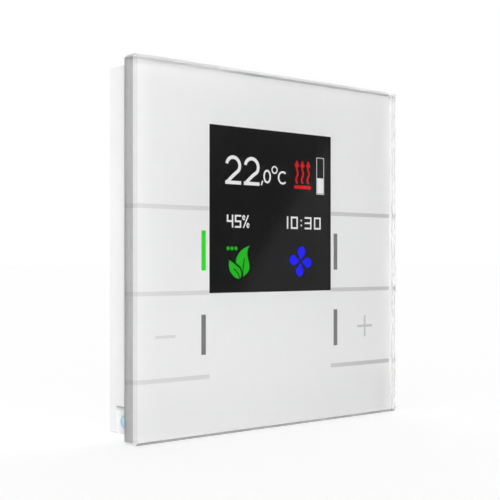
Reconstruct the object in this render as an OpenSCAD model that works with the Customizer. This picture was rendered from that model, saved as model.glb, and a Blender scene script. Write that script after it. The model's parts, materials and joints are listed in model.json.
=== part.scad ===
// Wall thermostat: a square glass control plate on a slim plastic housing that
// clips on to a steel ring screwed over a round flush box.
//
// Frame: the origin is the centre of the wall plane, +Z is up, +X is to the right
// of a person who faces the glass, and the glass faces -Y. Every "depth" below is
// a distance in front of the wall, so a depth of d lies at Y = -d.

/* [Glass plate] */
// Width and height of the square glass plate
plate_w = 92; // [90:0.5:94]
// Thickness of the glass
glass_t = 5; // [4.5:0.25:5]
// Ground chamfer round the front and the back edge of the glass
glass_chamfer = 0.75; // [0.4:0.05:0.9]

/* [Housing] */
// Distance from the wall to the front of the glass
total_depth = 13; // [13:0.25:14]
// How far the housing stands back from the edge of the glass
housing_inset = 1.7; // [1.5:0.1:1.9]
// Wall thickness of the housing
housing_wall = 2; // [1.8:0.1:2.2]
// Height of the air notch that holds the temperature sensor
notch_h = 6.8; // [6:0.1:8]
// Radius of the temperature sensor bead
bead_r = 1.75; // [1.5:0.05:1.8]

/* [Face print] */
// Width of the display window
window_w = 42.9; // [41:0.1:43]
// Height of the display window
window_h = 42.4; // [41:0.1:43]
// Height of the window's centre above the plate's centre
window_z = 10.5; // [9.5:0.1:11]
// Height of one row of touch fields
row_pitch = 21; // [20.5:0.1:21.5]
// Thickness of the printed field lines
line_t = 1.1; // [0.8:0.1:1.4]
// Distance of the plus and minus signs from the middle
sign_x = 35; // [33:0.5:36]
// Width of the plus and minus signs
sign_w = 6; // [5:0.1:7]
// Stroke of the plus and minus signs
sign_stroke = 0.7; // [0.5:0.1:1]

/* [Status lights] */
// Distance of the status light bars from the middle
bar_x = 23.25; // [23.25:0.05:23.4]
// Width of a status light bar
bar_w = 1.5; // [1.3:0.1:1.5]
// Height of a status light bar
bar_h = 10; // [8:0.5:10.5]

/* [Mounting ring] */
// Side of the square steel ring
ring_w = 71; // [70:0.5:72]
// Thickness of the steel ring
ring_t = 1.2; // [1:0.1:1.3]
// Radius of the opening in the ring
ring_opening_r = 24.5; // [24.2:0.1:24.8]
// Distance between opposite wall screws
screw_spacing = 60; // [60:0.5:61]
// Width of the slots for the wall screws
slot_w = 3.6; // [3.4:0.1:4]
// Length of the slots for the wall screws
slot_l = 6.4; // [6:0.1:7]

/* [Bus connection] */
// Distance between the two bus pins
pin_spacing = 5.75; // [5.5:0.05:6]
// Radius of a bus pin
pin_r = 0.5; // [0.4:0.05:0.55]

/* [Hidden] */
$fn = 64;
eps = 0.01;

// Depths of the layers, from the glass back to the wall
glass_back = total_depth - glass_t;
print_t = 0.1;
print_corner_r = 0.3;
grey_t = 0.05;
foil_front = glass_back - print_t;
foil_back = foil_front - 0.2;
housing_front = glass_back - 0.5;
flange_back = housing_front - 1.2;
panel_front = glass_back - 0.4;
panel_back = panel_front - 1.4;
backlight_front = panel_back - 0.1;
backlight_back = backlight_front - 1;
pcb_front = backlight_back - 0.2;
pcb_back = pcb_front - 1.2;
cover_front = 2.8;
cover_back = 1.5;

// Housing
housing_w = plate_w - 2 * housing_inset;
housing_in = housing_w - 2 * housing_wall;
housing_corner_r = 0.7;
flange_opening = housing_in - 5.6;
corner_block = 7.8;
corner_screw = housing_in / 2 - 4.8;
screw_shaft_r = 1;
screw_play = 0.02;
ledge_h = 20;

// Sensor notch in the lower left corner of the housing
notch_top = -housing_w / 2 + notch_h;
notch_start = 2.85;
notch_slope = 0.86;
bead_pos = [-housing_w / 2 + 1.8, 5.4, -housing_w / 2 + 2.9];
lead_r = 0.2;
lead_gap = 0.5;

// Display stack
panel_size = [44, 44.8];
backlight_size = [43, 43.8];
carrier_half_w = 25.5;
carrier_top = 35;
carrier_foot = -29;
carrier_bay_top = -14.2;
carrier_bay_half_w = 21.2;
carrier_screw_at = [[-23.7, -27.6], [23.7, -27.6], [-24, 33.6], [24, 33.6]];
flex_x = -15.3;
flex_w = 9;
flex_t = 0.2;
flex_foot = -17.4;
play = 0.1;

// Status light bars: side, then height of the centre
bar_at = [[-1, 0], [-1, -row_pitch], [1, 0], [1, -row_pitch]];
lens_back = pcb_front + 0.9;

// Circuit board
pcb_half_w = 41.2;
pcb_corner = 9;
tab_bay = [7.5, -32.5];
terminal_bay = [6.8, -23.6, -12.6];
pin_z = -18.1;
pin_tip = 0.4;
pin_root_r = 0.8;

// Programming switch and light
button_pos = [14, -18];
button_r = 1.05;
button_well_r = 1.1;
button_tip = 1.2;
button_foot = 3.15;
switch_w = 5;
prog_led_pos = [14, -11];

// Anti-theft screw, ring tab and spring clips
lock_depth = 3.6;
lock_r = 1.5;
lock_play = 0.03;
lock_screw_z = [-housing_w / 2 + 1, -housing_w / 2 + 7];
insert_z = [-housing_w / 2 + 1.3, -housing_w / 2 + 5.8];
tab_w = 8;
tab_t = 1.2;
tab_front = 6;
tab_window = 3.6;
diagonal_hole_at = 26.5;
clip_at = [[-31.5, -16], [-31.5, 16], [31.5, -16], [31.5, 16]];

// ---------------------------------------------------------------- building blocks

// Flat rectangle with round corners, centred on the origin
module rounded_rect(w, h, r) {
    square([w - 2 * r, h], center = true);
    square([w, h - 2 * r], center = true);
    for (x = [-1, 1], z = [-1, 1])
        translate([x * (w / 2 - r), z * (h / 2 - r)]) circle(r);
}

// Takes a flat X-Z outline and gives it the depths from near to far
module layer(near, far) {
    translate([0, -near, 0]) rotate([90, 0, 0]) linear_extrude(far - near) children();
}

// Block between two corners, given as [low, high] in X, in depth and in Z
module block(x, d, z) {
    translate([x[0], -d[1], z[0]]) cube([x[1] - x[0], d[1] - d[0], z[1] - z[0]]);
}

// Rods along the three axes
module rod_y(x, z, r, near, far) {
    translate([x, -near, z]) rotate([90, 0, 0]) cylinder(r = r, h = far - near);
}

module rod_x(d, z, r, from, to) {
    translate([from, -d, z]) rotate([0, 90, 0]) cylinder(r = r, h = to - from);
}

module rod_z(x, d, r, from, to) {
    translate([x, -d, from]) cylinder(r = r, h = to - from);
}

// ---------------------------------------------------------------- glass and print

// Bar as long as the plate, with both chamfers of the glass on its two sides
module chamfered_bar() {
    half = plate_w / 2;
    c = glass_chamfer;
    back = -glass_back;
    front = -total_depth;
    translate([0, 0, -half])
        linear_extrude(plate_w)
            polygon([
                [-half + c, back], [half - c, back], [half, back - c], [half, front + c],
                [half - c, front], [-half + c, front], [-half, front + c], [-half, back - c]
            ]);
}

module front_glass() {
    corner_to_corner = sqrt(2) * (plate_w - glass_chamfer);
    color("LightCyan", 0.5)
    intersection() {
        // square with its corners ground off, as much as the other edges
        layer(glass_back, total_depth)
            intersection() {
                square(plate_w, center = true);
                rotate(45) square(corner_to_corner, center = true);
            }
        chamfered_bar();
        rotate([0, 90, 0]) chamfered_bar();
    }
}

// The display window and the four light bar windows
module windows_outline(grow) {
    translate([0, window_z]) square([window_w + 2 * grow, window_h + 2 * grow], center = true);
    for (b = bar_at)
        translate([b[0] * bar_x, b[1]]) square([bar_w + 2 * grow, bar_h + 2 * grow], center = true);
}

// Field lines on both sides, and the two signs
module grey_outline() {
    line_l = (plate_w - 2 * glass_chamfer - window_w) / 2;
    for (side = [-1, 1], row = [0 : 2])
        translate([side * (window_w + line_l) / 2, window_z - row * row_pitch])
            square([line_l, line_t], center = true);
    for (side = [-1, 1])
        translate([side * sign_x, -row_pitch]) square([sign_w, sign_stroke], center = true);
    translate([sign_x, -row_pitch]) square([sign_stroke, sign_w], center = true);
}

module white_print() {
    printed_w = plate_w - 2 * glass_chamfer;
    color("White")
    difference() {
        layer(foil_front, glass_back)
            difference() {
                rounded_rect(printed_w, printed_w, print_corner_r);
                windows_outline(0);
            }
        layer(glass_back - grey_t, glass_back + 1) grey_outline();
    }
}

module grey_print() {
    color("Silver") layer(glass_back - grey_t, glass_back) grey_outline();
}

module touch_foil() {
    color("Khaki")
    layer(foil_back, foil_front)
        difference() {
            rounded_rect(housing_in - 1, housing_in - 1, 2);
            windows_outline(0.3);
            // clear of the air notch
            translate([-housing_in / 2 - 1, -housing_in / 2 - 1]) square([corner_block + 1, corner_block + 1]);
        }
}

module adhesive_tape() {
    color("DimGray")
    layer(housing_front, foil_front)
        difference() {
            rounded_rect(housing_w - 0.6, housing_w - 0.6, housing_corner_r);
            rounded_rect(housing_in - 0.4, housing_in - 0.4, 1);
            translate([-housing_w / 2 - 1, -housing_w / 2 - 1]) square([6, notch_h + 1]);
        }
}

// ---------------------------------------------------------------- housing

// Ramp that sinks into the left side, deeper towards the glass
module air_notch() {
    side = -housing_w / 2;
    out = 2;
    far = glass_back + 1;
    translate([0, 0, side - 1])
        linear_extrude(notch_h + 1)
            polygon([
                [side - out, -(notch_start - out / notch_slope)],
                [side + (far - notch_start) * notch_slope, -far],
                [side - out, -far]
            ]);
    rod_x(bead_pos[1], bead_pos[2], bead_r + 0.2, side - 1, bead_pos[0] + bead_r + 0.2);
}

module housing_frame() {
    half = housing_in / 2;
    color("WhiteSmoke")
    difference() {
        union() {
            // outer wall
            layer(0, housing_front)
                difference() {
                    rounded_rect(housing_w, housing_w, housing_corner_r);
                    rounded_rect(housing_in, housing_in, 0.5);
                }
            // front flange that the glass is taped to
            layer(flange_back, housing_front)
                difference() {
                    rounded_rect(housing_w - 1, housing_w - 1, housing_corner_r);
                    rounded_rect(flange_opening, flange_opening, 1);
                }
            // corner blocks for the rear cover's screws
            for (x = [-1, 1], z = [-1, 1])
                translate([x * (half - corner_block / 2 + 0.25), 0, z * (half - corner_block / 2 + 0.25)])
                    layer(cover_front, housing_front - 0.5) square(corner_block + 0.5, center = true);
            // backing of the air notch, in front of the wall side
            block([-half - 0.5, -half + 2.5], [1, cover_front + eps], [-half - 0.5, notch_top + 1.5]);
            // ledges that the circuit board rests on
            for (x = [-1, 1])
                translate([x * (half - 1.15), 0, 0])
                    layer(pcb_front, flange_back + eps) square([2.8, ledge_h], center = true);
            // boss of the locking insert
            block([-4, 4], [0.9, flange_back + eps], [-half - 0.5, insert_z[1] - 0.3]);
        }
        air_notch();
        // way for the sensor leads into the housing
        rod_x(bead_pos[1], bead_pos[2], 1.1, bead_pos[0], -half + corner_block + 1);
        // pilot holes of the rear cover's screws
        for (x = [-1, 1], z = [-1, 1])
            rod_y(x * corner_screw, z * corner_screw, screw_shaft_r + screw_play, cover_front - 1, 5.9);
        // bore of the locking insert, and its way in from below
        rod_z(0, lock_depth, 2.3, insert_z[0], insert_z[1] + 1);
        rod_z(0, lock_depth, 1.8, -housing_w / 2 - 1, insert_z[0] + eps);
    }
}

module locking_insert() {
    color("Goldenrod")
    difference() {
        rod_z(0, lock_depth, 2.3, insert_z[0], insert_z[1] - 0.3);
        rod_z(0, lock_depth, lock_r + lock_play, insert_z[0] - 1, insert_z[1] + 1);
    }
}

module locking_screw() {
    socket_af = 1.5;
    color("DarkGray")
    difference() {
        rod_z(0, lock_depth, lock_r, lock_screw_z[0], lock_screw_z[1]);
        // hexagon socket in the lower end
        translate([0, -lock_depth, lock_screw_z[0] - eps])
            cylinder(r = socket_af / sqrt(3), h = 2, $fn = 6);
    }
}

module rear_cover() {
    half = housing_in / 2 - 0.2;
    color("Gainsboro")
    difference() {
        union() {
            layer(cover_back, cover_front) rounded_rect(2 * half, 2 * half, 0.6);
            // posts that press the circuit board on to the housing's ledges
            for (x = [-1, 1], z = [-1, 1])
                rod_y(x * 39.4, z * ledge_h * 0.35, 1.2, cover_front - 0.5, pcb_back);
        }
        // windows behind the bus terminal, the switch and the programming light
        block([-7.2, 7.2], [0, 5], [-24, -12.2]);
        block([button_pos[0] - 2.8, button_pos[0] + 2.8], [0, 5], [button_pos[1] - 2.8, button_pos[1] + 2.8]);
        rod_y(prog_led_pos[0], prog_led_pos[1], 1.5, 0, 5);
        // bay round the ring's tab and the locking boss
        block([-6, 6], [0, 5], [-half - 1, -33.5]);
        // notch backing in the lower left corner
        block([-half - 1, -half + 2.6], [0, 5], [-half - 1, notch_top + 1.8]);
        // room for the heads of the wall screws
        for (x = [-1, 1])
            translate([x * screw_spacing / 2, 0, 0]) layer(0, 5) rounded_rect(slot_l + 3.6, 7.6, 3.7);
        for (z = [-1, 1])
            translate([0, 0, z * screw_spacing / 2])
                layer(0, 5) rounded_rect(7.6, z > 0 ? slot_l + 3.6 : 7, 3.4);
        // slots that take the ring's spring clips
        for (c = clip_at)
            translate([c[0] - sign(c[0]), 0, c[1]]) layer(0, 5) square([3.8, 7.2], center = true);
        // corner screws
        for (x = [-1, 1], z = [-1, 1])
            rod_y(x * corner_screw, z * corner_screw, screw_shaft_r + 0.2, 0, 5);
    }
}

module housing_screws() {
    color("Silver")
    for (x = [-1, 1], z = [-1, 1])
        difference() {
            union() {
                rod_y(x * corner_screw, z * corner_screw, screw_shaft_r, cover_back - 0.1, 5.6);
                rod_y(x * corner_screw, z * corner_screw, 1.9, cover_back - 0.8, cover_back);
            }
            // cross recess
            for (turn = [0, 90])
                translate([x * corner_screw, -cover_back + 0.3, z * corner_screw])
                    rotate([0, turn, 0]) cube([2.2, 1.2, 0.4], center = true);
        }
}

// ---------------------------------------------------------------- display and lights

module display_carrier() {
    color("DarkSlateGray")
    difference() {
        block([-carrier_half_w, carrier_half_w], [pcb_front, housing_front], [carrier_foot, carrier_top]);
        // pocket of the panel, and of the backlight behind it
        translate([0, 0, window_z])
            layer(panel_back, housing_front + 1)
                square([panel_size[0] + 2 * play, panel_size[1] + 2 * play], center = true);
        translate([0, 0, window_z])
            layer(pcb_front - 1, housing_front + 1)
                square([backlight_size[0] + 2 * play, backlight_size[1] + 2 * play], center = true);
        // open bay below the panel
        block([-carrier_bay_half_w, carrier_bay_half_w], [0, 9], [carrier_foot - 1, carrier_bay_top]);
        // gap that the display's flex cable leaves through
        block([flex_x - flex_w / 2 - 0.4, flex_x + flex_w / 2 + 0.4], [panel_back - 0.2, 9],
              [carrier_bay_top - 1, -11]);
        // shafts of the light bars
        for (b = bar_at)
            translate([b[0] * bar_x, 0, b[1]])
                layer(pcb_front - 1, 9) square([bar_w + 0.1, bar_h + 0.1], center = true);
        // pilot holes of the carrier's screws
        for (p = carrier_screw_at)
            rod_y(p[0], p[1], 0.72, pcb_front - 1, pcb_front + 2);
    }
}

module display_panel() {
    color([0.1, 0.1, 0.12])
    translate([0, 0, window_z])
        layer(panel_back, panel_front) square(panel_size, center = true);
}

module backlight_unit() {
    color("White")
    translate([0, 0, window_z])
        layer(backlight_back, backlight_front) square(backlight_size, center = true);
}

// Flat cable that folds back once, from the panel's foot down into its connector
module display_flex() {
    from = panel_front - 0.9;
    to = pcb_front + 0.7;
    top = window_z - panel_size[1] / 2;
    fold = top - 2.5;
    color("DarkOrange")
    translate([flex_x - flex_w / 2, 0, 0])
        rotate([90, 0, 90])
            linear_extrude(flex_w)
                polygon([
                    [-from, top], [-from - flex_t, top],
                    [-from - flex_t, fold - flex_t], [-to - flex_t, fold - flex_t - 1],
                    [-to - flex_t, flex_foot], [-to, flex_foot],
                    [-to, fold - flex_t - 0.8], [-from, fold]
                ]);
}

module display_connector() {
    half_w = flex_w / 2 + 1.1;
    color("Ivory")
    difference() {
        block([flex_x - half_w, flex_x + half_w], [pcb_front, pcb_front + 1.3],
              [flex_foot - 1, flex_foot + 1.5]);
        block([flex_x - flex_w / 2 - play, flex_x + flex_w / 2 + play],
              [pcb_front + 0.6, pcb_front + 1], [flex_foot - 0.1, flex_foot + 2]);
    }
}

// Tail of the touch foil, which drops on to its connector beside the display
module touch_flex() {
    color("DarkOrange")
    block([-33, -27], [pcb_front + 0.9, foil_back], [25, 25.2]);
}

module touch_connector() {
    color("Ivory")
    block([-34, -26], [pcb_front, pcb_front + 0.9], [23.6, 26.6]);
}

// Clear light guide behind one bar of the print
module status_lens(at) {
    translate([at[0] * bar_x, 0, at[1]])
        layer(lens_back, foil_front) square([bar_w, bar_h], center = true);
}

module status_leds() {
    color("LightYellow")
    for (b = bar_at)
        block([b[0] * bar_x - 0.4, b[0] * bar_x + 0.4], [pcb_front, pcb_front + 0.6], [b[1] - 0.8, b[1] + 0.8]);
}

// ---------------------------------------------------------------- electronics

module main_pcb() {
    color("SeaGreen")
    layer(pcb_back, pcb_front)
        difference() {
            square(2 * pcb_half_w, center = true);
            // room for the housing's corner blocks
            for (x = [-1, 1], z = [-1, 1])
                translate([x * pcb_half_w, z * pcb_half_w]) square(2 * pcb_corner - 4, center = true);
            // bay of the ring's tab and the locking boss
            translate([-tab_bay[0], -pcb_half_w - 1]) square([2 * tab_bay[0], tab_bay[1] + pcb_half_w + 1]);
            // bay of the bus terminal
            translate([-terminal_bay[0], terminal_bay[1]])
                square([2 * terminal_bay[0], terminal_bay[2] - terminal_bay[1]]);
            for (p = carrier_screw_at)
                translate(p) circle(0.9);
        }
}

// Flat chip: centre, size in X and Z, height above the board
module chip(x, z, w, h, t) {
    block([x - w / 2, x + w / 2], [pcb_front, pcb_front + t], [z - h / 2, z + h / 2]);
}

module processor() {
    color([0.15, 0.15, 0.16]) chip(-15, -23.6, 9, 9, 1.2);
}

module touch_controller() {
    color([0.15, 0.15, 0.16]) chip(33, 2, 7, 7, 1);
}

module bus_transceiver() {
    color([0.15, 0.15, 0.16]) chip(33, -22, 6, 6, 1);
}

module power_inductor() {
    color("DimGray")
    union() {
        chip(33, -12, 6, 6, 0.5);
        rod_y(33, -12, 2.7, pcb_front + 0.4, pcb_front + 2.2);
    }
}

module capacitors() {
    color("Orange")
    for (z = [-6, -11.5, -17])
        chip(-33, z, 7.3, 4.3, 1.9);
}

module quartz_crystal() {
    color("Silver") chip(-15, -31.5, 5, 3.2, 0.9);
}

module carrier_screws() {
    color("Silver")
    for (p = carrier_screw_at) {
        rod_y(p[0], p[1], 0.7, pcb_back - 0.1, pcb_front + 1.8);
        rod_y(p[0], p[1], 1.4, pcb_back - 0.6, pcb_back);
    }
}

module sensor_bead() {
    color("CornflowerBlue")
    translate([bead_pos[0], -bead_pos[1], bead_pos[2]]) sphere(bead_r);
}

module sensor_leads() {
    far = -pcb_half_w + pcb_corner + 1.2;
    color("Silver")
    for (z = [-1, 1])
        rod_x(bead_pos[1], bead_pos[2] + z * lead_gap, lead_r, bead_pos[0] + bead_r * 0.98, far);
}

module bus_header() {
    color([0.2, 0.2, 0.22])
    difference() {
        block([-9, 9], [pcb_front, pcb_front + 1.7], [pin_z - 4.2, pin_z + 3.8]);
        for (x = [-1, 1])
            rod_y(x * pin_spacing / 2, pin_z, pin_root_r, pcb_front - 1, pcb_front + 1.3);
    }
}

module bus_pins() {
    color("Gold")
    for (x = [-1, 1])
        union() {
            rod_y(x * pin_spacing / 2, pin_z, pin_root_r, pcb_front, pcb_front + 1.3);
            rod_y(x * pin_spacing / 2, pin_z, pin_r, pin_tip, pcb_front + eps);
        }
}

module programming_switch() {
    color([0.15, 0.15, 0.16])
    difference() {
        block([button_pos[0] - switch_w / 2, button_pos[0] + switch_w / 2], [2.4, pcb_back],
              [button_pos[1] - switch_w / 2, button_pos[1] + switch_w / 2]);
        rod_y(button_pos[0], button_pos[1], button_well_r, 0, button_foot + 0.35);
    }
}

module programming_button() {
    color("Firebrick") rod_y(button_pos[0], button_pos[1], button_r, button_tip, button_foot);
}

module programming_led() {
    color("Red")
    block([prog_led_pos[0] - 0.8, prog_led_pos[0] + 0.8], [pcb_back - 0.7, pcb_back],
          [prog_led_pos[1] - 0.5, prog_led_pos[1] + 0.5]);
}

// ---------------------------------------------------------------- wall side

module slot_outline(l, w) {
    square([l - w, w], center = true);
    for (x = [-1, 1])
        translate([x * (l - w) / 2, 0]) circle(w / 2);
}

module mounting_ring() {
    color("LightSteelBlue")
    layer(0, ring_t)
        difference() {
            rounded_rect(ring_w, ring_w, 6);
            circle(ring_opening_r);
            for (turn = [0 : 90 : 270])
                rotate(turn) translate([screw_spacing / 2, 0]) slot_outline(slot_l, slot_w);
            // round holes on the diagonals, for other boxes
            for (x = [-1, 1], z = [-1, 1])
                translate([x * diagonal_hole_at, z * diagonal_hole_at]) circle(1.6);
        }
}

// Tab welded upright on the ring at the bottom; the locking screw enters its window
module lock_tab() {
    tab_z = -ring_w / 2;
    color("Silver")
    difference() {
        block([-tab_w / 2, tab_w / 2], [ring_t, tab_front], [tab_z, tab_z + tab_t]);
        block([-tab_window / 2, tab_window / 2], [lock_depth - tab_window / 2, lock_depth + tab_window / 2],
              [tab_z - 1, tab_z + tab_t + 1]);
    }
}

// Leaf springs riveted to the ring, which grip the rear cover
module ring_clips() {
    leaf_t = 0.5;
    leaf_w = 6;
    foot = 2.4;
    color("Silver")
    for (c = clip_at) {
        side = sign(c[0]);
        low = c[0] - (side > 0 ? leaf_t : 0);
        foot_low = side > 0 ? c[0] - leaf_t : c[0] + leaf_t - foot;
        union() {
            block([low, low + leaf_t], [ring_t, 3.2], [c[1] - leaf_w / 2, c[1] + leaf_w / 2]);
            block([foot_low, foot_low + foot], [ring_t, ring_t + 0.3], [c[1] - leaf_w / 2, c[1] + leaf_w / 2]);
        }
    }
}

// ---------------------------------------------------------------- what is drawn

front_glass();
white_print();
grey_print();
touch_foil();
adhesive_tape();
housing_frame();
display_carrier();
display_panel();
backlight_unit();
display_flex();
display_connector();
touch_flex();
touch_connector();
color("LimeGreen") status_lens(bar_at[0]);  // status_lens_left_upper
color("Gray") status_lens(bar_at[1]);  // status_lens_left_lower
color("Gray") status_lens(bar_at[2]);  // status_lens_right_upper
color("Gray") status_lens(bar_at[3]);  // status_lens_right_lower
status_leds();
main_pcb();
processor();
touch_controller();
bus_transceiver();
power_inductor();
capacitors();
quartz_crystal();
carrier_screws();
sensor_bead();
sensor_leads();
bus_header();
bus_pins();
programming_switch();
programming_button();
programming_led();
rear_cover();
housing_screws();
locking_insert();
locking_screw();
mounting_ring();
lock_tab();
ring_clips();
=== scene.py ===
"""Looks of the wall thermostat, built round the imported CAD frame. Sizes below are in mm."""
import json
import math

import bmesh
import bpy
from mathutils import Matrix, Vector

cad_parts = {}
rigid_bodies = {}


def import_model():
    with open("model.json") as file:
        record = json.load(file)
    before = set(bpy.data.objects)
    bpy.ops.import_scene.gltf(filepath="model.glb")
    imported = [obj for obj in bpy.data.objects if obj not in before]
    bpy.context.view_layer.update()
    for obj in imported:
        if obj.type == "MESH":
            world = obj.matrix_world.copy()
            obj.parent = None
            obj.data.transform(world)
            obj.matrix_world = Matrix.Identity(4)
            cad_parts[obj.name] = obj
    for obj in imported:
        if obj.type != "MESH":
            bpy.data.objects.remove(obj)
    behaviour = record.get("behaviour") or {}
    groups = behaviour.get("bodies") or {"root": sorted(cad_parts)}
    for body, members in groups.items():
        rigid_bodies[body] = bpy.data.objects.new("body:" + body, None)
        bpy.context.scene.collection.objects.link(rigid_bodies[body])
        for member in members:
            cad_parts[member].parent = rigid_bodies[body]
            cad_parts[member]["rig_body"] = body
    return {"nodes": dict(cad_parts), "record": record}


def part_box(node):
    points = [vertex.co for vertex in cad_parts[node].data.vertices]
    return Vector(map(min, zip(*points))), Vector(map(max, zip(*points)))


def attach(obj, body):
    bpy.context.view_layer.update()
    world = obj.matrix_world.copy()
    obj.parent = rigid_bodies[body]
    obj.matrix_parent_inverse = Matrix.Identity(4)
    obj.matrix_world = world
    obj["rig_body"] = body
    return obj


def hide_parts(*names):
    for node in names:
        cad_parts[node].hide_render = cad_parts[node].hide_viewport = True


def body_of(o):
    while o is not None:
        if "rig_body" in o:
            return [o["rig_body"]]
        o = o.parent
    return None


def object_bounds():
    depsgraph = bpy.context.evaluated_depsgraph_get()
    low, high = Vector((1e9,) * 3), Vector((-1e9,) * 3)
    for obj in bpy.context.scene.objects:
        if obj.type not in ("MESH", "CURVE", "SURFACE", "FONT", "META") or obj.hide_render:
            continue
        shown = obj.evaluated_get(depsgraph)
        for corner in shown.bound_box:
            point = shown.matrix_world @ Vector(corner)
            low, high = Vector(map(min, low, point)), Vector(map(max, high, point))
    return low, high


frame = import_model()
cad_lo, cad_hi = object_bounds()

MM = 0.001
scene = bpy.context.scene


# ---------------------------------------------------------------- camera, floor and light

CAMERA_TURN = math.radians(-40.95)
CAMERA_PLACE = Vector((-186.25, -216.92, -2.93)) * MM
CAMERA_LENS = 76.07
CAMERA_SENSOR = 36
CAMERA_SHIFT = 0.0244
# The glass bends what lies behind it to the left, so the camera stands a little to the left.
CAMERA_STEP = 0.9 * MM


def make_camera():
    data = bpy.data.cameras.new("camera")
    data.lens = CAMERA_LENS
    data.sensor_width = CAMERA_SENSOR
    data.shift_y = CAMERA_SHIFT
    data.clip_start = 0.01
    data.clip_end = 50
    camera = bpy.data.objects.new("camera", data)
    camera.rotation_euler = (math.pi / 2, 0, CAMERA_TURN)
    left = Vector((-math.cos(CAMERA_TURN), -math.sin(CAMERA_TURN), 0))
    camera.location = CAMERA_PLACE + left * CAMERA_STEP
    scene.collection.objects.link(camera)
    scene.camera = camera


# The floor gives off light of its own, and the lamps leave it out, so that it stays near white.
FLOOR_SIZE = 24
FLOOR_GAP = 0.05 * MM
FLOOR_TONE = 0.45
FLOOR_GLOW = 0.655


def make_floor():
    """A pale floor that the glass neither mirrors nor shows through itself."""
    bpy.ops.mesh.primitive_plane_add(size=FLOOR_SIZE, location=(0, 0, cad_lo.z - FLOOR_GAP))
    floor = bpy.context.object
    floor.name = "floor"
    material = bpy.data.materials.new("floor_white")
    material.use_nodes = True
    shader = material.node_tree.nodes["Principled BSDF"]
    shader.inputs["Base Color"].default_value = (FLOOR_TONE, FLOOR_TONE, FLOOR_TONE, 1)
    shader.inputs["Roughness"].default_value = 0.9
    shader.inputs["Specular IOR Level"].default_value = 0
    shader.inputs["Emission Color"].default_value = (1, 1, 1, 1)
    shader.inputs["Emission Strength"].default_value = FLOOR_GLOW
    floor.data.materials.append(material)
    floor.visible_glossy = False
    floor.visible_transmission = False
    return floor


# Brightness of the studio, by direction: behind the object and in front of it, from left to right
STUDIO_BEHIND = (0.5, 1.3)
STUDIO_FRONT = (1.0, 0.11)
STUDIO_OVERHEAD = 0.3
# How far to each side those tones run, and how wide the change from front to back is
FRONT_SPAN = (-0.35, 0.35)
BEHIND_SPAN = (-0.2, 0.3)
TURNOVER = (-0.15, 0.15)
# A slanted panel in front, to the right, which the glass mirrors faintly
STUDIO_PANEL = 0.661
STUDIO_SLANT = 0.413
PANEL_SOFTNESS = 0.008
PANEL_GLOW = 0.13


def make_studio():
    """White for the camera, and soft uneven light for everything else."""
    world = bpy.data.worlds.new("studio")
    world.use_nodes = True
    scene.world = world
    nodes, links = world.node_tree.nodes, world.node_tree.links
    nodes.clear()
    place = nodes.new("ShaderNodeTexCoord")
    split = nodes.new("ShaderNodeSeparateXYZ")
    links.new(place.outputs["Generated"], split.inputs[0])

    def ramp(source, span, start, end):
        node = nodes.new("ShaderNodeMapRange")
        node.interpolation_type = "SMOOTHSTEP"
        links.new(source, node.inputs["Value"])
        ends = (("From Min", span[0]), ("From Max", span[1]), ("To Min", start), ("To Max", end))
        for name, value in ends:
            if hasattr(value, "links"):
                links.new(value, node.inputs[name])
            else:
                node.inputs[name].default_value = value
        return node.outputs["Result"]

    front = ramp(split.outputs["X"], FRONT_SPAN, *STUDIO_FRONT)
    behind = ramp(split.outputs["X"], BEHIND_SPAN, *STUDIO_BEHIND)
    slant = nodes.new("ShaderNodeMath")
    slant.operation = "MULTIPLY_ADD"
    slant.inputs[1].default_value = -STUDIO_SLANT
    links.new(split.outputs["Z"], slant.inputs[0])
    links.new(split.outputs["X"], slant.inputs[2])
    panel_edge = (STUDIO_PANEL - PANEL_SOFTNESS, STUDIO_PANEL + PANEL_SOFTNESS)
    panel = ramp(slant.outputs[0], panel_edge, 0.0, PANEL_GLOW)
    front_with_panel = nodes.new("ShaderNodeMath")
    front_with_panel.operation = "ADD"
    links.new(front, front_with_panel.inputs[0])
    links.new(panel, front_with_panel.inputs[1])
    level = ramp(split.outputs["Y"], TURNOVER, front_with_panel.outputs[0], behind)
    over = ramp(split.outputs["Z"], (0.0, 1.0), 0.0, STUDIO_OVERHEAD)
    total = nodes.new("ShaderNodeMath")
    total.operation = "ADD"
    links.new(level, total.inputs[0])
    links.new(over, total.inputs[1])
    lit = nodes.new("ShaderNodeBackground")
    links.new(total.outputs[0], lit.inputs["Strength"])
    seen = nodes.new("ShaderNodeBackground")
    seen.inputs["Strength"].default_value = 1.0
    seen.inputs["Color"].default_value = (1, 1, 1, 1)
    path = nodes.new("ShaderNodeLightPath")
    mix = nodes.new("ShaderNodeMixShader")
    links.new(path.outputs["Is Camera Ray"], mix.inputs[0])
    links.new(lit.outputs[0], mix.inputs[1])
    links.new(seen.outputs[0], mix.inputs[2])
    out = nodes.new("ShaderNodeOutputWorld")
    links.new(mix.outputs[0], out.inputs[0])
    scene.view_settings.view_transform = "Standard"


# Lamps: name, place in metres, size in metres, power
LAMPS = (
    ("key", (-0.23, -0.36, 0.07), 0.3, 1.4),
    ("fill", (-0.14, -0.57, 0.1), 0.84, 2.7),
)


def soft_light(name, place, size, power, not_on):
    """A round lamp aimed at the object, which leaves one thing to the studio's own light."""
    data = bpy.data.lights.new(name, "AREA")
    data.shape = "DISK"
    data.size = size
    data.energy = power
    lamp = bpy.data.objects.new(name, data)
    lamp.location = place
    lamp.rotation_euler = (-Vector(place)).to_track_quat("-Z", "Y").to_euler()
    # The front of the glass doesn't mirror the lamp as a hard disk.
    lamp.visible_glossy = False
    scene.collection.objects.link(lamp)
    shaded = bpy.data.collections.new(name + "_leaves_out")
    shaded.objects.link(not_on)
    shaded.collection_objects[0].light_linking.link_state = "EXCLUDE"
    lamp.light_linking.receiver_collection = shaded


# ---------------------------------------------------------------- mesh helpers

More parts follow.
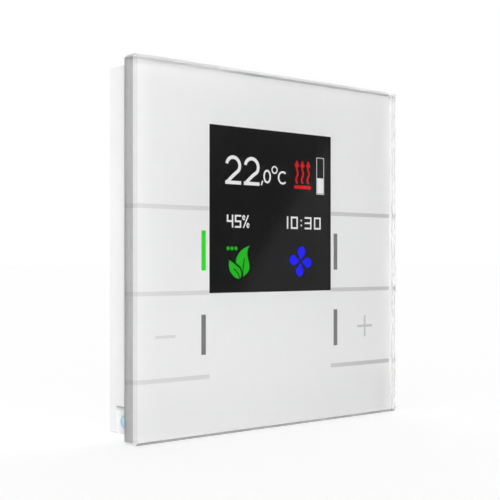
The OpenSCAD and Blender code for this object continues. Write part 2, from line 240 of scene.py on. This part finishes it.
def piece(name, bm, material, body="device", smooth_below=None):
    """Turns a bmesh in metres into an object that rides on a body."""
    bmesh.ops.recalc_face_normals(bm, faces=bm.faces[:])
    mesh = bpy.data.meshes.new(name)
    bm.to_mesh(mesh)
    bm.free()
    if smooth_below is not None:
        mesh.shade_smooth()
        mesh.set_sharp_from_angle(angle=math.radians(smooth_below))
    made = bpy.data.objects.new(name, mesh)
    scene.collection.objects.link(made)
    mesh.materials.append(material)
    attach(made, body)
    return made


def at(x, y, z):
    return Vector((x * MM, y * MM, z * MM))


def loft(bm, rings):
    """Skins a list of closed rings and closes both ends."""
    made = [[bm.verts.new(p) for p in ring] for ring in rings]
    count = len(made[0])
    for lower, upper in zip(made, made[1:]):
        for i in range(count):
            j = (i + 1) % count
            bm.faces.new((lower[i], lower[j], upper[j], upper[i]))
    bm.faces.new(made[0])
    bm.faces.new(made[-1])


def slab(bm, outline, front, back):
    """A thin closed plate with the given outline of (x, z) points."""
    rings = []
    for y in (front, back):
        rings.append([at(x, y, z) for x, z in outline])
    loft(bm, rings)


def stroke(bm, path, width, front, back, closed=False):
    """A thin closed strip of even width along a path of (x, z) points."""
    count = len(path)
    left, right = [], []
    for i, point in enumerate(path):
        before = path[(i - 1) % count] if closed or i > 0 else None
        after = path[(i + 1) % count] if closed or i < count - 1 else None
        here = Vector(point)
        ways = []
        if before is not None:
            ways.append((here - Vector(before)).normalized())
        if after is not None:
            ways.append((Vector(after) - here).normalized())
        way = sum(ways, Vector((0, 0))).normalized()
        reach = width / 2 / max(0.5, way.dot(ways[0]))
        side = Vector((-way.y, way.x)) * reach
        left.append(here + side)
        right.append(here - side)
    rows = []
    for a, b in zip(left, right):
        rows.append([bm.verts.new(at(a.x, front, a.y)), bm.verts.new(at(b.x, front, b.y)),
                     bm.verts.new(at(b.x, back, b.y)), bm.verts.new(at(a.x, back, a.y))])
    pairs = list(zip(rows, rows[1:]))
    if closed:
        pairs.append((rows[-1], rows[0]))
    else:
        bm.faces.new(rows[0])
        bm.faces.new(rows[-1])
    for a, b in pairs:
        for i in range(4):
            j = (i + 1) % 4
            bm.faces.new((a[i], a[j], b[j], b[i]))


def spline(points, steps=8):
    """A smooth path through a few (x, z) points."""
    line = []
    last = len(points) - 1
    for i in range(last):
        p0, p1 = points[max(i - 1, 0)], points[i]
        p2, p3 = points[i + 1], points[min(i + 2, last)]
        for step in range(steps):
            t = step / steps
            line.append(tuple(
                0.5 * (2 * b + (c - a) * t + (2 * a - 5 * b + 4 * c - d) * t * t
                       + (3 * b - a - 3 * c + d) * t ** 3)
                for a, b, c, d in zip(p0, p1, p2, p3)))
    line.append(tuple(points[-1]))
    return line


def arc(x, z, half_w, half_h, start, end, steps=24):
    """Points of an ellipse's arc, in degrees from the right, anticlockwise."""
    line = []
    for step in range(steps + 1):
        turn = math.radians(start + (end - start) * step / steps)
        line.append((x + half_w * math.cos(turn), z + half_h * math.sin(turn)))
    return line


def turned(points, x, z, degrees):
    """Points turned about (x, z)."""
    turn = math.radians(degrees)
    c, s = math.cos(turn), math.sin(turn)
    return [(x + (a - x) * c - (b - z) * s, z + (a - x) * s + (b - z) * c) for a, b in points]


# Points this close are one, and edges count as flat or sharp at these angles.
WELD = 0.002 * MM
FLAT_BELOW = math.radians(1)
SHARP_ABOVE = math.radians(30)


def copied(node):
    """A welded copy of a CAD node's mesh."""
    bm = bmesh.new()
    bm.from_mesh(frame["nodes"][node].data)
    bmesh.ops.remove_doubles(bm, verts=bm.verts[:], dist=WELD)
    return bm


def refined(node, width, segments, smooth_below):
    """A copy of a CAD node with its edges rounded, which stands in for it."""
    source = frame["nodes"][node]
    bm = copied(node)
    bmesh.ops.dissolve_limit(bm, angle_limit=FLAT_BELOW, verts=bm.verts[:], edges=bm.edges[:])
    sharp = [e for e in bm.edges if len(e.link_faces) == 2 and e.calc_face_angle() > SHARP_ABOVE]
    bmesh.ops.bevel(bm, geom=sharp, offset=width * MM, segments=segments, affect="EDGES")
    made = piece(node + "_detailed", bm, finish_of(node), body_of(source)[0], smooth_below)
    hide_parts(node)
    return made


# ---------------------------------------------------------------- materials

SLOT_OF = {row["node"]: row["material_slot"] for row in frame["record"]["subparts"]}
finishes = {}


class Surface:
    """A Principled material under construction."""

    def __init__(self, name):
        self.material = bpy.data.materials.new(name)
        self.material.use_nodes = True
        self.nodes = self.material.node_tree.nodes
        self.links = self.material.node_tree.links
        self.shader = self.nodes["Principled BSDF"]
        self.place = self.nodes.new("ShaderNodeTexCoord").outputs["Object"]

    def plain(self, name, value):
        self.shader.inputs[name].default_value = value

    def noise(self, scale, detail=4, stretch=None):
        source = self.place
        if stretch:
            mapping = self.nodes.new("ShaderNodeMapping")
            mapping.inputs["Scale"].default_value = stretch
            self.links.new(source, mapping.inputs["Vector"])
            source = mapping.outputs[0]
        node = self.nodes.new("ShaderNodeTexNoise")
        node.inputs["Scale"].default_value = scale
        node.inputs["Detail"].default_value = detail
        self.links.new(source, node.inputs["Vector"])
        return node.outputs["Fac"]

    def cells(self, scale, feature="F1"):
        node = self.nodes.new("ShaderNodeTexVoronoi")
        node.feature = feature
        node.inputs["Scale"].default_value = scale
        self.links.new(self.place, node.inputs["Vector"])
        return node.outputs["Distance"]

    def axes(self):
        """The place on the object, as separate X, Y and Z."""
        node = self.nodes.new("ShaderNodeSeparateXYZ")
        self.links.new(self.place, node.inputs[0])
        return node.outputs

    def product(self, first, second):
        node = self.nodes.new("ShaderNodeMath")
        node.operation = "MULTIPLY"
        self.links.new(first, node.inputs[0])
        self.links.new(second, node.inputs[1])
        return node.outputs[0]

    def spread(self, source, low, high, start=0.0, end=1.0):
        node = self.nodes.new("ShaderNodeMapRange")
        node.inputs["From Min"].default_value = low
        node.inputs["From Max"].default_value = high
        node.inputs["To Min"].default_value = start
        node.inputs["To Max"].default_value = end
        self.links.new(source, node.inputs["Value"])
        return node.outputs["Result"]

    def blend(self, factor, dark, light):
        node = self.nodes.new("ShaderNodeMix")
        node.data_type = "RGBA"
        self.links.new(factor, node.inputs["Factor"])
        for socket, value in ((node.inputs[6], dark), (node.inputs[7], light)):
            if hasattr(value, "links"):
                self.links.new(value, socket)
            else:
                socket.default_value = (*value, 1)
        return node.outputs[2]

    def colour(self, source, socket="Base Color"):
        self.links.new(source, self.shader.inputs[socket])

    def rough(self, source):
        self.links.new(source, self.shader.inputs["Roughness"])

    def bump(self, source, depth, strength=1.0):
        node = self.nodes.new("ShaderNodeBump")
        node.inputs["Distance"].default_value = depth * MM
        node.inputs["Strength"].default_value = strength
        self.links.new(source, node.inputs["Height"])
        self.links.new(node.outputs[0], self.shader.inputs["Normal"])


def simple(name, dark, light, grain, rough, bump=None, metal=0.0, stretch=None):
    """Colour and roughness that vary with one grain, and a finer bump."""
    s = Surface(name)
    grain_at = s.noise(grain, 5, stretch)
    s.colour(s.blend(s.spread(grain_at, 0.3, 0.7), dark, light))
    s.rough(s.spread(grain_at, 0.25, 0.75, *rough))
    s.plain("Metallic", metal)
    if bump:
        scale, depth = bump
        s.bump(s.noise(scale, 3, stretch), depth)
    return s.material


def grey_enamel():
    """Grey print with the mottle of a screen.

    Its tone falls from left to right, which stands in for the light of the reference view.
    """
    s = Surface("grey_enamel")
    across = s.spread(s.axes()["X"], cad_lo.x, cad_hi.x)
    light = s.blend(across, (0.83, 0.83, 0.83), (0.64, 0.64, 0.64))
    dark = s.blend(across, (0.8, 0.8, 0.8), (0.61, 0.61, 0.61))
    mottle = s.noise(1500, 5)
    s.colour(s.blend(s.spread(mottle, 0.3, 0.7), dark, light))
    s.rough(s.spread(mottle, 0.25, 0.75, 0.4, 0.5))
    s.bump(s.noise(6000, 3), 0.004)
    return s.material


def housing_white():
    s = Surface("housing_white")
    tone = s.noise(60, 3)
    s.colour(s.blend(s.spread(tone, 0.3, 0.7), (0.74, 0.74, 0.74), (0.78, 0.78, 0.78)))
    grain = s.noise(4200, 2)
    s.rough(s.spread(grain, 0.3, 0.7, 0.42, 0.56))
    s.bump(grain, 0.02)
    return s.material


def cover_white():
    s = Surface("cover_white")
    tone = s.noise(45, 3)
    s.colour(s.blend(s.spread(tone, 0.3, 0.7), (0.74, 0.75, 0.755), (0.79, 0.8, 0.8)))
    grain = s.cells(2600)
    s.rough(s.spread(grain, 0.0, 0.6, 0.5, 0.65))
    s.bump(grain, 0.03)
    return s.material


def display_glass():
    s = Surface("display_glass")
    tone = s.noise(40, 2)
    s.colour(s.blend(s.spread(tone, 0.3, 0.7), (0.004, 0.004, 0.0045), (0.006, 0.006, 0.0065)))
    s.rough(s.spread(s.noise(900, 2), 0.3, 0.7, 0.3, 0.36))
    s.plain("Specular IOR Level", 0.05)
    return s.material


def clear_glass():
    s = Surface("clear_glass")
    tint = s.noise(15, 1)
    s.colour(s.blend(s.spread(tint, 0.3, 0.7), (0.986, 0.987, 0.986), (0.998, 0.999, 0.998)))
    s.plain("Roughness", 0.0)
    s.plain("IOR", 1.5)
    s.plain("Transmission Weight", 1.0)
    return s.material


def glass_edge(name, dark, light):
    """Clear polished glass tinted darker, which holds back some of the light that passes, as painted shade
    and dark reflection on an edge.
    """
    s = Surface(name)
    tint_noise = s.noise(700, 3)
    s.colour(s.blend(s.spread(tint_noise, 0.3, 0.7), dark, light))
    s.plain("Roughness", 0.02)
    s.plain("IOR", 1.5)
    s.plain("Transmission Weight", 1.0)
    return s.material


# Where the lacquer turns to the painted grey reflection: from left to right, and from the rest to the
# upper edge
PAINTED_REFLECTION_X = (-18 * MM, -8 * MM)
PAINTED_REFLECTION_Z = (44 * MM, 45 * MM)


def glass_seal():
    """Lacquer on the back chamfer: white, and greyer at the top right, where the grey is a painted dark
    reflection.

    It stands in for what the bevel shows in the reference view. Nothing shows that it is lacquered.
    """
    s = Surface("glass_seal")
    axes = s.axes()
    along = s.spread(axes["X"], *PAINTED_REFLECTION_X)
    above = s.spread(axes["Z"], *PAINTED_REFLECTION_Z)
    mottle = s.spread(s.noise(900, 4), 0.3, 0.7)
    # The grey is a painted dark reflection along the top right of the chamfer.
    grey = s.blend(mottle, (0.7, 0.7, 0.7), (0.74, 0.74, 0.74))
    white = s.blend(mottle, (0.94, 0.94, 0.94), (0.97, 0.97, 0.97))
    s.colour(s.blend(s.product(along, above), white, grey))
    s.plain("Roughness", 0.6)
    return s.material


def lens(name, dark, light, glow=None):
    s = Surface(name)
    frost = s.noise(2500, 3)
    s.colour(s.blend(s.spread(frost, 0.3, 0.7), dark, light))
    s.rough(s.spread(frost, 0.3, 0.7, 0.3, 0.4))
    if glow:
        s.colour(s.blend(s.spread(frost, 0.2, 0.8), *glow), "Emission Color")
        s.plain("Emission Strength", 1.0)
    return s.material


def lens_green_lit():
    glow = ((0.01, 0.55, 0.004), (0.014, 0.59, 0.008))
    return lens("lens_green_lit", (0.01, 0.12, 0.01), (0.012, 0.14, 0.012), glow)


def lens_unlit():
    return lens("lens_unlit", (0.185, 0.187, 0.19), (0.21, 0.212, 0.215))


def metal(name, dark, light, rough, stretch, grain=900):
    """Bare metal, with its grain drawn out where the stretch is small."""
    return simple(name, dark, light, grain, rough, bump=(grain * 3, 0.004), metal=1.0, stretch=stretch)


def ring_zinc():
    """Zinc plate over rolled sheet: large faint crystals and fine rolling lines."""
    s = Surface("ring_zinc")
    crystals = s.cells(350)
    lines = s.noise(900, 4, (1, 1, 0.06))
    tone = s.blend(s.spread(crystals, 0.0, 0.9), (0.56, 0.575, 0.59), (0.68, 0.69, 0.7))
    s.colour(s.blend(s.spread(lines, 0.35, 0.65), (0.52, 0.535, 0.55), tone))
    s.rough(s.spread(lines, 0.3, 0.7, 0.32, 0.5))
    s.plain("Metallic", 1.0)
    s.bump(lines, 0.01)
    return s.material


def sensor_blue():
    """Dipped resin: pale cyan above, bluer in the middle and greyer below, as the reference has it; the
    pale top is a painted highlight and the grey bottom painted shade.
    """
    s = Surface("sensor_blue")
    lo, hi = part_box("sensor_bead")
    tall = hi.z - lo.z
    height = s.axes()["Z"]
    # Painted highlight on the top of the bead, and painted shade on its bottom.
    above = s.spread(height, lo.z + 0.4 * tall, lo.z + 0.9 * tall)
    below = s.spread(height, lo.z + 0.05 * tall, lo.z + 0.35 * tall)
    cloudy = s.spread(s.noise(700, 3), 0.3, 0.7)
    blue = s.blend(cloudy, (0.3, 0.58, 0.8), (0.36, 0.64, 0.84))
    upper = s.blend(above, blue, (0.45, 0.78, 0.86))
    s.colour(s.blend(below, (0.36, 0.42, 0.5), upper))
    s.rough(s.spread(cloudy, 0.0, 1.0, 0.12, 0.22))
    s.bump(s.noise(1200, 3), 0.02)
    return s.material


def pcb_green():
    """Solder resist over copper tracks, with a fine weave below."""
    s = Surface("pcb_green")
    tracks = s.spread(s.cells(380, "DISTANCE_TO_EDGE"), 0.03, 0.06)
    weave = s.noise(3000, 2)
    resist = s.blend(s.spread(weave, 0.3, 0.7), (0.006, 0.075, 0.03), (0.009, 0.1, 0.04))
    s.colour(s.blend(tracks, (0.02, 0.17, 0.06), resist))
    s.rough(s.spread(weave, 0.3, 0.7, 0.28, 0.4))
    s.bump(tracks, 0.02)
    return s.material


def flex_amber():
    return simple("flex_amber", (0.4, 0.16, 0.02), (0.52, 0.23, 0.03), 800, (0.3, 0.42),
                  bump=(1500, 0.02), stretch=(1, 1, 0.1))


# Painted, moulded and printed finishes: dark and light colour, scale of the grain,
# range of roughness, and scale and depth in mm of the bump
PLAIN = {
    "white_enamel": ((0.93, 0.93, 0.93), (0.95, 0.95, 0.95), 1500, (0.4, 0.5), (6000, 0.004)),
    "carrier_black": ((0.012, 0.012, 0.014), (0.02, 0.02, 0.022), 900, (0.5, 0.65), (4000, 0.02)),
    "sensor_foil": ((0.42, 0.27, 0.09), (0.5, 0.33, 0.12), 700, (0.3, 0.4), None),
    "foam_tape": ((0.03, 0.031, 0.033), (0.06, 0.062, 0.065), 3500, (0.8, 0.95), (5000, 0.05)),
    "backlight_white": ((0.78, 0.8, 0.82), (0.86, 0.88, 0.9), 500, (0.35, 0.5), (3000, 0.01)),
    "connector_ivory": ((0.6, 0.55, 0.38), (0.68, 0.63, 0.46), 900, (0.4, 0.5), (3000, 0.01)),
    "led_yellow": ((0.75, 0.66, 0.25), (0.85, 0.78, 0.4), 1500, (0.25, 0.35), None),
    "chip_black": ((0.012, 0.012, 0.013), (0.024, 0.024, 0.025), 2500, (0.5, 0.7), (9000, 0.01)),
    "ferrite_grey": ((0.03, 0.03, 0.032), (0.055, 0.055, 0.058), 1800, (0.45, 0.65), (5000, 0.02)),
    "capacitor_amber": ((0.5, 0.22, 0.015), (0.62, 0.3, 0.03), 900, (0.35, 0.5), (4000, 0.01)),
    "header_black": ((0.012, 0.012, 0.013), (0.022, 0.022, 0.024), 1500, (0.4, 0.55), (5000, 0.015)),
    "switch_black": ((0.014, 0.014, 0.015), (0.024, 0.024, 0.025), 1500, (0.4, 0.55), (5000, 0.015)),
    "button_red": ((0.3, 0.012, 0.01), (0.4, 0.02, 0.016), 1200, (0.35, 0.5), (4000, 0.01)),
    "led_red": ((0.5, 0.02, 0.015), (0.65, 0.04, 0.03), 1500, (0.2, 0.3), None),
}

# Bare metals: dark and light colour, range of roughness, stretch of the grain, its scale
METALS = {
    "crystal_can": ((0.5, 0.51, 0.52), (0.62, 0.63, 0.64), (0.25, 0.38), (0.1, 1, 1)),
    "screw_zinc": ((0.48, 0.49, 0.5), (0.62, 0.63, 0.64), (0.28, 0.42), (1, 1, 1), 1400),
    "lead_tinned": ((0.55, 0.56, 0.57), (0.68, 0.69, 0.7), (0.25, 0.4), (0.1, 1, 1)),
    "pin_gold": ((0.68, 0.45, 0.14), (0.8, 0.56, 0.2), (0.2, 0.32), (1, 0.1, 1)),
    "insert_brass": ((0.55, 0.36, 0.12), (0.68, 0.47, 0.18), (0.25, 0.38), (1, 1, 0.1)),
    "screw_steel": ((0.32, 0.325, 0.33), (0.44, 0.445, 0.45), (0.28, 0.4), (1, 1, 0.1)),
    "spring_steel": ((0.42, 0.43, 0.42), (0.56, 0.57, 0.56), (0.2, 0.34), (1, 1, 0.08)),
}

SPECIAL = {
    "grey_enamel": grey_enamel,
    "housing_white": housing_white,
    "cover_white": cover_white,
    "display_glass": display_glass,
    "clear_glass": clear_glass,
    "lens_green_lit": lens_green_lit,
    "lens_unlit": lens_unlit,
    "ring_zinc": ring_zinc,
    "pcb_green": pcb_green,
    "flex_amber": flex_amber,
    "sensor_blue": sensor_blue,
}


def make_finish(name):
    if name in PLAIN:
        return simple(name, *PLAIN[name])
    if name in METALS:
        return metal(name, *METALS[name])
    return SPECIAL[name]()


def finish_of(node):
    """The material of a node's slot, made once."""
    name = SLOT_OF[node]
    if name not in finishes:
        finishes[name] = make_finish(name)
    return finishes[name]


def recess_white():
    """The housing's plastic in the air notch. Its darker tones stand in for the shade there."""
    s = Surface("recess_white")
    bead_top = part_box("sensor_bead")[1].z
    lo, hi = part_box("housing_frame")
    axes = s.axes()
    inward = s.spread(axes["Y"], hi.y - 2.8 * MM, lo.y)
    upward = s.spread(axes["Z"], bead_top + 0.9 * MM, bead_top + 2.3 * MM)
    mottle = s.spread(s.noise(900, 4), 0.3, 0.7)
    unshaded = s.blend(mottle, (0.66, 0.66, 0.66), (0.7, 0.7, 0.7))
    shaded = s.blend(mottle, (0.5, 0.5, 0.5), (0.55, 0.55, 0.55))
    # Painted shade, deeper towards the glass, and a painted shadow under the notch's top edge.
    s.colour(s.blend(upward, s.blend(inward, unshaded, shaded), (0.24, 0.24, 0.24)))
    s.rough(s.spread(mottle, 0.0, 1.0, 0.6, 0.75))
    return s.material


def make_housing():
    """The housing, with its air notch in a rougher finish with painted shade."""
    housing = piece("housing_detailed", copied("housing_frame"), finish_of("housing_frame"))
    housing.data.materials.append(recess_white())
    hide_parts("housing_frame")
    for face in housing.data.polygons:
        slanted = face.normal.x < -0.4 and face.normal.y < -0.4
        if slanted and abs(face.normal.z) < 0.2:
            face.material_index = 1


PIXEL_PITCH = 0.2
PIXEL_GAP = 0.03


def pixels(name, colour, strength=1.0):
    """Light from the display, with its grid of picture elements."""
    s = Surface(name)
    axes = s.axes()
    rows = []
    for axis in ("X", "Z"):
        wave = s.nodes.new("ShaderNodeMath")
        wave.operation = "PINGPONG"
        wave.inputs[1].default_value = PIXEL_PITCH / 2 * MM
        s.links.new(axes[axis], wave.inputs[0])
        rows.append(s.spread(wave.outputs[0], 0.0, PIXEL_GAP * MM))
    dim = tuple(c * 0.8 for c in colour)
    s.colour(s.blend(s.product(*rows), dim, colour), "Emission Color")
    s.plain("Emission Strength", strength)
    s.plain("Base Color", (0.004, 0.004, 0.004, 1))
    s.plain("Roughness", 0.4)
    s.plain("Specular IOR Level", 0.0)
    return s.material


# ---------------------------------------------------------------- the glass

GLASS_CHAMFER = 0.75
# The glass reaches a hair into the print, because enamel fired on glass leaves no air between.
GLASS_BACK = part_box("front_glass")[1].y / MM + 0.03


# Finishes of the glass: index in the piece, tint from dark to light. The tints are chosen
# for how each edge looks in the reference view: their darkness is painted shade and painted dark
# reflection. A real plate is one clear glass.
CLEAR, SIDE, CHAMFER, LOWER_CHAMFER, SEALED = range(5)
SIDE_TINT = ((0.27, 0.27, 0.27), (0.3, 0.3, 0.3))
CHAMFER_TINT = ((0.72, 0.72, 0.72), (0.76, 0.76, 0.76))
# The near-black lower chamfer is a painted dark line along the bottom edge.
LOWER_CHAMFER_TINT = ((0.13, 0.13, 0.13), (0.16, 0.16, 0.16))


def glass_finish(normal):
    """Which finish a face of the glass has, by where it faces."""
    x, y, z = normal
    if abs(x) > 0.9:
        return SIDE
    if abs(y) < 0.1 and 0.6 < z < 0.9:
        return SIDE
    if y < -0.6 and z < -0.6:
        return LOWER_CHAMFER
    if y > 0.6 and (abs(z) > 0.6 or x > 0.6):
        return SEALED
    if abs(y) < 0.9:
        return CHAMFER
    return CLEAR


def make_glass():
    """The plate with every edge ground off. Its sides and chamfers are tinted darker than its faces, as
    painted shade and dark reflection.
    """
    lo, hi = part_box("front_glass")
    bm = bmesh.new()
    corners = bmesh.ops.create_cube(bm, size=1)["verts"]
    for corner in corners:
        corner.co.x = hi.x if corner.co.x > 0 else lo.x
        corner.co.y = GLASS_BACK * MM if corner.co.y > 0 else lo.y
        corner.co.z = hi.z if corner.co.z > 0 else lo.z
    bmesh.ops.bevel(bm, geom=bm.edges[:], offset=GLASS_CHAMFER * MM, segments=1, affect="EDGES")
    glass = piece("glass_plate", bm, finish_of("front_glass"))
    glass.data.materials.append(glass_edge("glass_side", *SIDE_TINT))
    glass.data.materials.append(glass_edge("glass_chamfer", *CHAMFER_TINT))
    glass.data.materials.append(glass_edge("glass_lower_chamfer", *LOWER_CHAMFER_TINT))
    glass.data.materials.append(glass_seal())
    for face in glass.data.polygons:
        face.material_index = glass_finish(face.normal)
    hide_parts("front_glass")


# ---------------------------------------------------------------- what the display shows

PICTURE_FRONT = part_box("display_panel")[0].y / MM - 0.05
PICTURE_BACK = PICTURE_FRONT + 0.03
MARK_FRONT = PICTURE_FRONT - 0.03


def shown(name, material, strokes=(), plates=(), rings=(), front=PICTURE_FRONT, back=PICTURE_BACK):
    """A lit figure on the display, of strokes (path, width), plates and closed strokes."""
    bm = bmesh.new()
    for path, width in strokes:
        stroke(bm, path, width, front, back)
    for path, width in rings:
        stroke(bm, path, width, front, back, closed=True)
    for outline in plates:
        slab(bm, outline, front, back)
    made = piece(name, bm, material)
    return made


def digit_two(x, z, w, h, pen):
    """A two with its left lower corner at (x, z)."""
    e = pen / 2
    r = w / 2 - e
    cx, cz = x + w / 2, z + h - e - r * 0.98
    top = arc(cx, cz, r, r * 0.98, 168, -38, 20)
    down = [(x + w * 0.62, z + h * 0.37), (x + w * 0.36, z + h * 0.22), (x + e * 1.5, z + e + 0.1)]
    path = top + spline([top[-1]] + down, 6)[1:]
    foot = [(x + 0.02, z + e), (x + w, z + e)]
    return [(path, pen), (foot, pen)]


def seven_segment(text, x, z, w, h, pen, gap):
    """Small square numerals, a colon and a percent sign as strokes."""
    on = {"0": "abcdef", "1": "bc", "2": "abged", "3": "abgcd", "4": "fgbc", "5": "afgcd",
          "6": "afgcde", "7": "abc", "8": "abcdefg", "9": "abcdfg"}
    made = []
    e = pen / 2
    for mark in text:
        if mark == ":":
            for level in (0.3, 0.7):
                made.append(([(x + 0.3, z + h * level - e), (x + 0.3, z + h * level + e)], pen))
            x += 0.6 + gap
            continue
        if mark == "%":
            made.append(([(x + e, z), (x + w - e, z + h)], pen * 0.8))
            for a, b in ((0.16, 0.8), (0.84, 0.2)):
                ring = arc(x + w * a, z + h * b, w * 0.16, h * 0.15, 0, 330, 11)
                made.append((ring, pen * 0.8))
            x += w + gap
            continue
        lines = {
            "a": [(x, z + h - e), (x + w, z + h - e)],
            "g": [(x, z + h / 2), (x + w, z + h / 2)],
            "d": [(x, z + e), (x + w, z + e)],
            "f": [(x + e, z + h / 2), (x + e, z + h)],
            "e": [(x + e, z), (x + e, z + h / 2)],
            "b": [(x + w - e, z + h / 2), (x + w - e, z + h)],
            "c": [(x + w - e, z), (x + w - e, z + h / 2)],
        }
        made += [(lines[part], pen) for part in on[mark]]
        x += w + gap
    return made


def make_temperature(white):
    """The numerals, the comma, the degree ring and the C."""
    pen = 0.9
    strokes = digit_two(-16.04, 16.97, 5.25, 7.38, pen) + digit_two(-9.85, 16.97, 5.35, 7.38, pen)
    strokes.append(([(-3.4, 18.35), (-3.86, 17.2)], 0.42))
    strokes.append((arc(3.72, 19.5, 1.5, 1.52, 48, 312, 22), 0.5))
    zero = arc(-1.82, 19.55, 1.07, 1.55, 0, 345, 23)
    degree = arc(0.8, 21.43, 0.9, 0.88, 0, 345, 23)
    rings = [(zero, 0.5), (degree, 0.36)]
    shown("temperature_figures", white, strokes, rings=rings)


def make_level_bar(white, grey):
    """An upright bar that is less than half full."""
    left, right, top, foot, level, gap = 16.3, 19.0, 25.6, 15.7, 20.06, 0.2
    frame_path = [(left, foot), (right, foot), (right, top), (left, top)]
    shown("level_outline", grey, rings=[(frame_path, 0.2)])
    fill = [(left + gap, foot + gap), (right - gap, foot + gap), (right - gap, level), (left + gap, level)]
    shown("level_fill", white, plates=[fill])


def make_heating_sign(red):
    """Three wavy arrows over a bar."""
    bar = []
    for x, start in ((13.7, -90), (8.3, 90)):
        bar += arc(x, 17.3, 0.46, 0.46, start, start + 180, 8)
    strokes, heads = [], [bar]
    for x in (8.9, 10.95, 13.1):
        bends = [(x + 0.1, 18.25), (x - 0.32, 19.3), (x + 0.3, 20.9), (x - 0.1, 22.2), (x, 23.2)]
        strokes.append((spline(bends, 6), 0.55))
        heads.append([(x, 24.55), (x - 0.82, 23.0), (x, 22.4), (x + 0.82, 23.0)])
    shown("heating_sign", red, strokes, heads)


def make_leaf_sign(green, dark):
    """Two leaves, the smaller in front, each with a dark rib."""
    tip, cleft, foot = (-7.94, 1.35), (-12.45, -3.15), (-10.3, -6.85)
    right = spline([tip, (-8.6, 0.0), (-8.6, -1.4), (-8.0, -3.6), (-8.3, -5.3), foot], 5)
    inner = spline([foot, (-10.35, -5.5), (-11.0, -4.1), cleft], 5)
    left = spline([cleft, (-12.4, -2.2), (-11.7, -0.9), (-10.3, 0.35), tip], 5)
    big = right + inner[1:] + left[1:-1]
    tip, foot = (-14.75, -2.35), (-11.15, -7.25)
    lower = spline([tip, (-14.75, -4.3), (-14.1, -5.65), (-12.8, -6.8), foot], 5)
    upper = spline([foot, (-10.7, -6.0), (-11.2, -4.7), (-12.4, -3.75), tip], 5)
    small = lower + upper[1:-1]
    shown("leaf_sign", green, plates=[big, small])
    ribs = [(spline([(-10.3, -6.9), (-10.1, -4.6), (-9.7, -1.9)], 6), 0.3),
            (spline([(-11.1, -7.3), (-12.0, -5.6), (-13.3, -4.6)], 6), 0.28)]
    shown("leaf_ribs", dark, ribs, front=MARK_FRONT, back=PICTURE_FRONT - 0.01)


def make_fan_sign(blue):
    """Four petals round a hub."""
    x, z = 10.25, -2.7
    narrow = (x - 0.02, z + 0.42)
    petal = [narrow] + arc(x + 0.35, z + 2.6, 1.38, 1.4, -24, 204, 18)
    plates = [turned(petal, x, z, 90 * quarter) for quarter in range(4)]
    shown("fan_sign", blue, plates=plates)


def make_small_figures(white, green):
    """A share, a time of day and three dots."""
    shown("share_figures", white, seven_segment("45%", -15.5, 5.9, 2.1, 3.3, 0.45, 0.55))
    shown("time_figures", white, seven_segment("10:30", 3.2, 6.0, 2.5, 3.3, 0.45, 1.0))
    dots = [arc(x, 0.6, 0.5, 0.5, 0, 345, 23) for x in (-15.1, -13.8, -12.5)]
    shown("mode_dots", green, plates=dots)


def make_picture():
    white = pixels("pixels_white", (0.88, 0.88, 0.88))
    grey = pixels("pixels_grey", (0.66, 0.66, 0.66))
    red = pixels("pixels_red", (0.68, 0.008, 0.008))
    green = pixels("pixels_green", (0.012, 0.5, 0.009))
    blue = pixels("pixels_blue", (0.0, 0.0, 1.0))
    dark = pixels("pixels_dark", (0.004, 0.004, 0.004), 0.2)
    make_temperature(white)
    make_level_bar(white, grey)
    make_heating_sign(red)
    make_leaf_sign(green, dark)
    make_fan_sign(blue)
    make_small_figures(white, green)


# ---------------------------------------------------------------- everything

# CAD nodes whose edges are rounded, with the radius, the steps and the smoothed angle
ROUNDED_EDGES = (
    ("mounting_ring", 0.12, 2, 1),
    ("lock_tab", 0.12, 2, 1),
    ("ring_clips", 0.06, 1, 1),
    ("programming_button", 0.12, 3, 20),
    ("bus_header", 0.15, 2, 1),
    ("bus_pins", 0.1, 2, 20),
    ("locking_insert", 0.12, 1, 20),
)


def paint_nodes():
    for node, made in frame["nodes"].items():
        made.data.materials.clear()
        made.data.materials.append(finish_of(node))


make_camera()
floor = make_floor()
make_studio()
for name, place, size, power in LAMPS:
    soft_light(name, place, size, power, floor)
paint_nodes()
for node, width, segments, smooth_below in ROUNDED_EDGES:
    refined(node, width, segments, smooth_below)
make_housing()
make_glass()
make_picture()
